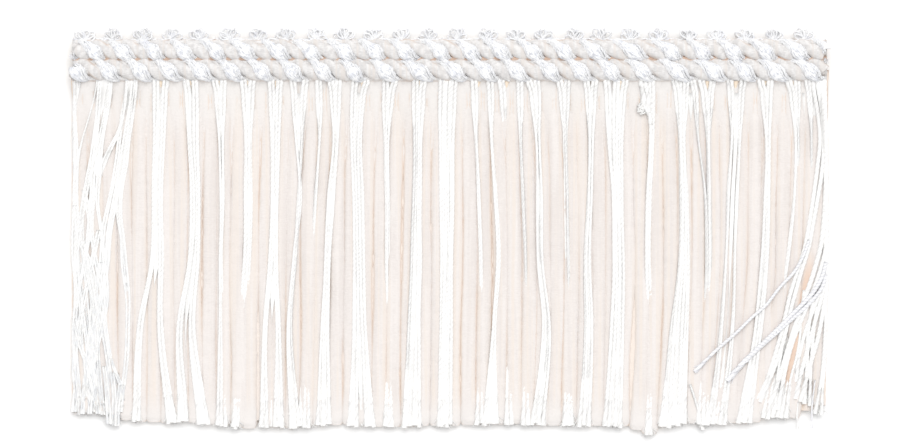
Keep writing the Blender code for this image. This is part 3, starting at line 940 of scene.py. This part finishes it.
# Where a loose lock leaves the heading its filaments lie as a short flat fan: the middle and half its width,
# in pixels, and how all of them run
rootFans = {
    "fans": [(77, 5), (104, 9), (131, 7), (818, 8)], "taper": 0.25,
    "run": [(0, 34.2, 2.45), (0, 32.5, 2.7), (-0.2, 30.5, 2.2), (-0.5, 28, 1.8), (-0.8, 25.5, 1.6)],
}


def rootFan(middle, half):
    x = acrossAt(middle)
    line = smoothRun([(x + aside, y, z) for aside, y, z in rootFans["run"]], yarns["coreStep"])
    widest = millimetres(half) / yarns["coreWide"]
    return untwisted(line, widest * np.linspace(1, rootFans["taper"], len(line)))


def makeYarns(material, shaded):
    draw = random.Random(7)
    runs, cores = [], []
    for number, leg in enumerate(legs):
        pair = [legRun(leg, side, number * 2 + side, draw) for side in (0, 1)]
        runs += pair
        cores.append(legCore(*pair, leg.full))
        if number and legs[number - 1].lock == leg.lock:
            beside = (yarns["bridgeFan"], yarns["bridgeStart"], yarns["bridge"])
            cores.append(legCore(runs[-3], runs[-2], *beside))
    runs += [looseRun(loose, draw) for loose in looseYarns]
    for loose in tangledYarns:
        for side in (-1, 1):
            runs.append(looseRun(loose, draw, side * yarns["splitApart"], yarns["splitShare"]))
        cores.append(legCore(runs[-2], runs[-1], yarns["twinFan"], widest=yarns["splitWeb"]))
    cores += [rootFan(*fan) for fan in rootFans["fans"]]
    crossed = [looseRun(loose, draw) for loose in crossingYarns]
    runs.sort(key=lambda run: run.line[0][0])
    names = ("left", "middle", "right")
    for part, name in enumerate(names):
        chosen = runs[part * len(runs) // len(names) : (part + 1) * len(runs) // len(names)]
        layPiece("rayon_" + name, chosen, yarnCorners(), material)
    coreCorners = ellipse(yarns["coreWide"], yarns["coreDeep"], yarns["coreCorners"])
    layPiece("rayon_cores", cores, coreCorners, material)
    layPiece("rayon_crossing", crossed, yarnCorners(), shaded)
    print("rayon laid:", len(runs) + len(crossed), "yarns")
    return runs, crossed


tips = {
    "filaments": 18, "length": 3.2, "shortest": 0.5, "slimmer": 3, "flare": 0.66, "radius": 0.085,
    "aside": 0.4, "above": 0.35, "reach": (-0.9, 0.4), "drop": (-1.4, 0.3), "lowest": 0.1, "bow": 0.12,
    "arch": 0.15,
}


def makeTips(name, runs, material):
    # The cut ends open into loose filaments
    draw = random.Random(21)
    lines = []
    for run in runs:
        end = Vector(run.line[-1])
        heading = (end - Vector(run.line[-8])).normalized()
        across = Vector((-heading.y, heading.x, 0))
        # A slim yarn has far fewer of them
        for _ in range(int(tips["filaments"] * min(run.sizes[0], 1) ** tips["slimmer"])):
            back = int(tips["length"] * draw.uniform(tips["shortest"], 1) / yarns["step"])
            start = Vector(run.line[-1 - back])
            start += across * draw.uniform(-tips["aside"], tips["aside"])
            start.z += draw.uniform(0, tips["above"])
            aim = across * draw.gauss(0, tips["flare"])
            finish = end + heading * draw.uniform(*tips["reach"]) + aim
            finish.z = max(finish.z + draw.uniform(*tips["drop"]), tips["lowest"])
            middle = (start + finish) / 2 - aim * tips["bow"] + Vector((0, 0, tips["arch"]))
            lines.append(untwisted(np.array([start, middle, finish])))
    layPiece(name, lines, ellipse(tips["radius"], tips["radius"], 4), material)
    print("cut ends opened:", len(lines), "filaments")


knot = {
    "at": (641.5, 108.5), "level": 2.45, "loops": 11, "bends": 6, "wide": 1.2, "tall": 1.4,
    "inner": 0.2, "dome": 1.2, "step": 0.25, "lead": 1.6, "size": 0.5,
}
# The short legs that it ties, and the end that joins the next yarn
knotYarns = looseRows(
    (1.4, 2.65, 2.2, 641, 84, 643, 93, 644, 101, 643, 109),
    (1.3, 2.7, 2.0, 645, 84, 647, 94, 648, 103, 647, 112),
    (1.0, 2.75, 1.8, 641, 103, 645, 108, 649, 114, 651, 124),
)


def makeKnot(material):
    # A small tangled tuft on the twenty-first lock
    draw = random.Random(12)
    middle = Vector((*onFringe(*knot["at"]), knot["level"]))
    runs = []
    for _ in range(knot["loops"]):
        stops = []
        for _ in range(knot["bends"]):
            angle, out = draw.uniform(0, math.tau), draw.uniform(knot["inner"], 1)
            rise = draw.uniform(-0.5, 0.5) * (knot["dome"] - out)
            spot = Vector((math.cos(angle) * out * knot["wide"], math.sin(angle) * out * knot["tall"], rise))
            stops.append(tuple(middle + spot))
        runs.append(twisted(smoothRun(stops, knot["step"]), knot["lead"], knot["size"]))
    runs += [looseRun(loose, draw) for loose in knotYarns]
    layPiece("rayon_knot", runs, yarnCorners(), material)
    print("knot tied:", len(runs), "yarns")


# The two roped rows of the heading

heading = {
    "length": 167.5, "lead": 14.1, "steeper": 0.9, "flattening": 0.82, "base": 1.0, "step": 0.41,
    "hiddenShare": 0.33, "out": 1.25, "outAtSides": 0.58, "wide": 1.32, "deep": 0.7,
    "yarnAngles": (-88, -60, -30, 0, 30, 60, 88), "yarnSize": 0.8, "yarnLead": 1.25, "crinkle": 0.21,
    "crinkleLength": 0.65, "fattest": 0.42, "thin": 0.5, "swell": 0.72, "swellWidth": 0.85,
    "chenilleOut": 0.8, "chenilleWide": 1.25, "chenilleDeep": 0.86, "beside": -1.5, "besideDeep": -0.1,
    "besideSize": (0.5, 0.3), "besideLead": 2.0, "stray": (0.45, 0.16), "strayLength": 4,
    "usualRadius": 2.2, "endMargin": 0.8, "places": 1200, "smoothing": 20, "hiddenBelow": -0.3,
    "yarnFull": 0.75, "leadRange": (0.9, 1.15), "yarnCorners": (0.42, 0.27, 0.2), "floatStep": 0.3,
    "floatWider": 1.04, "floatDeeper": 1.18, "floatCorners": 14,
    "floatRough": [(0.16, 0.8), (0.12, 0.4)], "chenilleStep": 0.42, "chenilleFull": 0.72,
    "chenilleCorners": 12, "chenilleRough": [(0.1, 1.2), (0.08, 0.5)],
    "rows": {
        "upper_row": {"y": 40.05, "radius": 2.15},
        "lower_row": {"y": 35.75, "radius": 2.35},
    },
}

# Where each white lobe of a row is on top, in pixels of the photograph
lobes = {
    "upper_row": [62, 92, 121, 152, 182, 213, 244, 275, 309, 342, 373, 403, 438, 468, 497, 531, 561, 593,
        630, 669, 700, 729, 763, 796, 828],
    "lower_row": [45, 76, 107, 138, 168, 200, 230, 260, 291, 320, 352, 383, 417, 453, 484, 514, 547, 579,
        608, 639, 675, 711, 742, 772, 808, 840],
}


def turnsOf(name, phase):
    # Every place along a row, with how far the strand has turned from the top there. It turns half a turn
    # from each white lobe to the next.
    reach = reachOf()
    x = np.linspace(-reach, reach, heading["places"])
    tops = [acrossAt(px) for px in lobes[name]]
    turn = np.interp(x, tops, np.arange(len(tops)) * math.pi)
    side = heading["smoothing"]
    window = np.hanning(2 * side + 1)
    padded = np.concatenate([2 * turn[0] - turn[side:0:-1], turn, 2 * turn[-1] - turn[-2 : -side - 2 : -1]])
    return x, np.convolve(padded, window / window.sum(), "valid") + phase


def fullness(turn):
    # Each float is thin where it dives at the sides and fullest just past the top
    off = (turn + math.pi) % math.tau - math.pi
    bulge = np.exp(-(((off - heading["fattest"]) / heading["swellWidth"]) ** 2))
    return heading["thin"] + heading["swell"] * bulge


def wound(name, phase, out, across=0.0, deep=0.0):
    # A line that winds round the row. across and deep shift it inside its own bundle.
    row = heading["rows"][name]
    x, turn = turnsOf(name, phase)
    full = fullness(turn)
    grow = row["radius"] / heading["usualRadius"]
    out = (out + heading["outAtSides"] * np.sin(turn) ** 2) * grow
    # A strand crosses the top steeply and runs on along the back
    slope = np.arctan2(out, heading["lead"] / math.tau - heading["steeper"] * np.cos(turn))
    x = x - heading["steeper"] * np.sin(turn) + across * full * np.sin(slope)
    turn = turn - across * full * np.cos(slope) / out
    reach = out + deep * full * grow
    y, z = row["y"] - reach * np.sin(turn), middleOf(row) + reach * np.cos(turn) * heading["flattening"]
    line = straight(x, y, z)
    for axis, amount in enumerate(heading["stray"]):
        seed = row["y"] * 3 + axis + round(phase, 2) * 5
        line[:, axis] += amount * strayed(x, heading["strayLength"], seed)
    limit = reachOf(heading["endMargin"])
    line[:, 0] = np.clip(line[:, 0], -limit, limit)
    return line, full, turn


def middleOf(row):
    return heading["base"] + row["radius"] * heading["flattening"]


def windRun(line, full, turn, step, lead, start=0.0):
    # Close rings where the strand faces up, wider ones below
    weight = np.where(np.cos(turn) > heading["hiddenBelow"], 1, heading["hiddenShare"])
    along = np.concatenate([[0], np.cumsum(np.diff(distances(line)) * weight[1:])])
    wanted = np.linspace(0, along[-1], int(along[-1] / step))
    return twisted(sampled(line, along, wanted), lead, np.interp(wanted, along, full), start)


def crinkled(line, seed):
    along = distances(line)
    for axis in range(3):
        line[:, axis] += heading["crinkle"] * strayed(along, heading["crinkleLength"], seed, axis * 5.0)
    return line


def makeRow(name, rayon, flat, pile):
    draw = random.Random(len(name) * 3 + heading["rows"][name]["y"])
    yarnRuns, bodies, cords = [], [], []
    step = heading["step"]
    for phase in (0, math.pi):
        bodies.append(windRun(*wound(name, phase, heading["out"]), heading["floatStep"], noTwist))
        for degrees in heading["yarnAngles"]:
            angle = math.radians(degrees)
            across, deep = heading["wide"] * math.sin(angle), heading["deep"] * math.cos(angle)
            line, full, turn = wound(name, phase, heading["out"], across, deep)
            line = crinkled(line, draw.uniform(0, 90))
            size = heading["yarnSize"] * (heading["yarnFull"] + (1 - heading["yarnFull"]) * full)
            lead = heading["yarnLead"] * draw.uniform(*heading["leadRange"])
            yarnRuns.append(windRun(line, size, turn, step, lead, draw.uniform(0, math.tau)))
        line, full, turn = wound(name, phase, heading["out"], heading["beside"], heading["besideDeep"])
        least, more = heading["besideSize"]
        yarnRuns.append(windRun(line, full * more + least, turn, step, heading["besideLead"]))
        line, full, turn = wound(name, phase + math.pi / 2, heading["chenilleOut"])
        full = heading["chenilleFull"] + (1 - heading["chenilleFull"]) * full
        cords.append(windRun(line, full, turn, heading["chenilleStep"], noTwist))
    layPiece(name + "_rayon", yarnRuns, sixCorners(*heading["yarnCorners"]), rayon, name)
    wide, deep = heading["wide"] * heading["floatWider"], heading["deep"] * heading["floatDeeper"]
    corners = ellipse(wide, deep, heading["floatCorners"])
    layPiece(name + "_floats", bodies, corners, flat, name, heading["floatRough"])
    corners = ellipse(heading["chenilleWide"], heading["chenilleDeep"], heading["chenilleCorners"])
    layPiece(name + "_chenille", cords, corners, pile, name, heading["chenilleRough"])
    print("row roped:", name)


rootTufts = {
    "y": 33.3, "z": 2.55, "endY": (30.3, 31.3), "endZ": 2.0, "size": 0.62, "corners": 8, "shift": 1.8,
    "stray": 0.8, "step": 0.3, "taper": 0.35, "rough": [(0.12, 0.5)],
}


def makeRootTufts(material):
    # The warm ground shows as a small wedge where the two legs of a lock part
    draw = random.Random(3)
    runs = []
    for lock in range(photo["locks"]):
        stray = draw.uniform(-rootTufts["stray"], rootTufts["stray"])
        x = acrossAt(lockAt(lock) + rootTufts["shift"] + stray)
        tip = draw.uniform(*rootTufts["endY"])
        stops = [(x, rootTufts["y"], rootTufts["z"]), (x, tip, rootTufts["endZ"])]
        line = smoothRun(stops, rootTufts["step"])
        runs.append(untwisted(line, np.linspace(1.0, rootTufts["taper"], len(line))))
    corners = ellipse(rootTufts["size"], rootTufts["size"], rootTufts["corners"])
    layPiece("root_wedges", runs, corners, material, rough=rootTufts["rough"])
    print("wedges set:", len(runs))


# Ground cords of the weave: each a place across, a height and a size
fillers = {
    "under": [(37.1, 2.9, 0.8), (41.5, 2.7, 0.75), (33.9, 2.6, 0.85)], "between": [(38.05, 2.8, 0.7)],
    "core": 1.45, "endGap": 0.4, "places": 160, "deep": 0.9, "corners": 12, "rough": [(0.1, 0.8)],
}


def makeFillers(material, paintedShade):
    under = fillers["under"] + [
        (row["y"], middleOf(row), fillers["core"]) for row in heading["rows"].values()
    ]
    reach = reachOf(fillers["endGap"])
    x = np.linspace(-reach, reach, fillers["places"])
    corners = ellipse(1.0, fillers["deep"], fillers["corners"])
    for name, cords, look in (
        ("ground_cords", under, material),
        # The cord between the rows wears the pile with darker painted shade
        ("ground_between", fillers["between"], paintedShade),
    ):
        runs = [twisted(straight(x, y, z), noTwist, size) for y, z, size in cords]
        layPiece(name, runs, corners, look, rough=fillers["rough"])
    print("ground cords laid")


# The picot edge

picots = {
    "base": 42.5, "tip": 44.9, "offset": 11.5, "stray": 0.25, "level": 2.3, "petals": 7, "fan": 68,
    "fanStray": 14, "lift": (-0.2, 0.45), "tilt": 0.5, "wide": 0.54, "wider": (0.7, 1.2),
    "shortest": 0.72, "step": 0.36, "lead": 1.5, "size": 0.56, "edgeRuns": 3, "edgeBends": 150,
    "edgeGap": 0.6, "edgeY": 42.2, "edgeStray": 0.4, "edgeLevels": (-0.3, 0.7), "edgeStep": 0.4,
    "edgeLead": 1.6, "leastUp": 0.9,
    # One loop, as shares of its reach and width, how far below the knot it starts, and its rise to its end
    "petal": [(0.35, 0.9), (0.8, 1), (1, 0), (0.8, -1), (0.35, -0.9)], "petalRoot": 0.5, "petalRise": 0.3,
}


def makePicots(material):
    # Each is a rosette of small loops round a knot
    draw = random.Random(5)
    runs = []
    for number in range(photo["locks"] - 1):
        middle = acrossAt(lockAt(number) + picots["offset"])
        middle += draw.uniform(-picots["stray"], picots["stray"])
        root = Vector((middle, picots["base"], picots["level"]))
        for fan in np.linspace(-picots["fan"], picots["fan"], picots["petals"]):
            angle = math.radians(fan + draw.uniform(-picots["fanStray"], picots["fanStray"]))
            out = Vector((math.sin(angle), math.cos(angle), draw.uniform(*picots["lift"])))
            side = Vector((out.y, -out.x, draw.uniform(-picots["tilt"], picots["tilt"])))
            side = side * picots["wide"] * draw.uniform(*picots["wider"])
            reach = (picots["tip"] - root.y) / max(out.y, picots["leastUp"])
            reach = reach * draw.uniform(picots["shortest"], 1.0)
            stops = [root + out * reach * along + side * across for along, across in picots["petal"]]
            below = root - out * picots["petalRoot"]
            stops = [below, *stops, below + Vector((0, 0, picots["petalRise"]))]
            line = smoothRun([tuple(stop) for stop in stops], picots["step"])
            runs.append(twisted(line, picots["lead"], picots["size"], draw.uniform(0, 6)))
    # Crinkled yarn runs from each to the next along the edge
    reach = reachOf(picots["edgeGap"])
    for _ in range(picots["edgeRuns"]):
        stops = []
        for x in np.linspace(-reach, reach, picots["edgeBends"]):
            y = picots["edgeY"] + picots["edgeStray"] * draw.uniform(-1, 1)
            stops.append((x, y, picots["level"] + draw.uniform(*picots["edgeLevels"])))
        line = smoothRun(stops, picots["edgeStep"])
        runs.append(twisted(line, picots["edgeLead"], picots["size"], draw.uniform(0, 6)))
    layPiece("picots", runs, yarnCorners(), material, node="picot_edge")
    print("picots turned:", len(runs), "loops")


# The holding stitch and the backing

stitch = {
    "y": 33.35, "bends": [(-7.5, 2.0), (-4, 3.25), (0, 2.0), (4, 3.25), (7.5, 2.0)], "swing": 0.12,
    "lead": 1.6, "size": 0.6, "step": 0.33,
}


def makeStitch(material):
    draw = random.Random(9)
    stops = []
    # It shows where it holds a leg, and dips under the chenille between the locks
    for lock in range(photo["locks"]):
        for aside, z in stitch["bends"]:
            x = acrossAt(lockAt(lock) + aside)
            if abs(x) < reachOf():
                stops.append((x, stitch["y"] + stitch["swing"] * draw.uniform(-1, 1), z))
    run = twisted(smoothRun(stops, stitch["step"]), stitch["lead"], stitch["size"])
    layPiece("crinkled_stitch", [run], yarnCorners(), material, node="holding_stitch")
    print("stitch sewn")


backing = {
    "back": 41.4, "front": 33.6, "warps": 9, "radius": 0.5, "corners": 6, "level": 0.64, "wave": 0.12,
    "pick": 1.5875, "warpStep": 1.0, "pickStep": 0.5, "pickSize": 0.8,
}


def makeBacking(material):
    # A plain weave: lengthwise warps, and picks that pass over and under them in turn
    reach = reachOf()
    gap = (backing["back"] - backing["front"]) / (backing["warps"] - 1)
    x = np.arange(-reach, reach, backing["warpStep"])
    runs = []
    for warp in range(backing["warps"]):
        wave = backing["wave"] * np.cos(x / backing["pick"] * math.pi + math.pi * warp)
        runs.append(untwisted(straight(x, backing["front"] + gap * warp, backing["level"] + wave)))
    y = np.arange(backing["front"] - endGap, backing["back"] + endGap, backing["pickStep"])
    for pick in range(int(2 * reach / backing["pick"])):
        across = -reach + backing["pick"] * (pick + 0.5)
        wave = backing["wave"] * np.cos((y - backing["front"]) / gap * math.pi + math.pi * pick)
        runs.append(untwisted(straight(across, y, backing["level"] - wave), backing["pickSize"]))
    corners = ellipse(backing["radius"], backing["radius"], backing["corners"])
    layPiece("backing_strip", runs, corners, material)
    print("backing woven")


makeStudio()
headPile = chenilleFinish("headingPileShaded", headingPileShaded)
skirtRayon = rayonFinish("rayonSkirt", skirtRayonLook)
crossRayon = rayonFinish("rayonCrossing", crossRayonLook)
headRayon = rayonFinish("rayonHeading", headRayonLook)
floatRayon = rayonFinish("rayonFloats", floatLook)
ground = backingFinish()
makeBacking(ground)
makeChenille(chenilleFinish("chenillePile", skirtPile))
yarnRuns, crossRuns = makeYarns(skirtRayon, crossRayon)
makeTips("rayon_cut_ends", yarnRuns, skirtRayon)
makeTips("rayon_crossing_ends", crossRuns, crossRayon)
makeKnot(skirtRayon)
for rowName in heading["rows"]:
    makeRow(rowName, headRayon, floatRayon, headPile)
makeFillers(headPile, chenilleFinish("paintedShadeGround", paintedShadeGround))
makeRootTufts(ground)
makePicots(headRayon)
makeStitch(headRayon)

total = 0
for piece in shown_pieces():
    piece.data.calc_loop_triangles()
    print(piece.name, len(piece.data.loop_triangles), "triangles")
    total += len(piece.data.loop_triangles)
print("in all", total, "triangles")
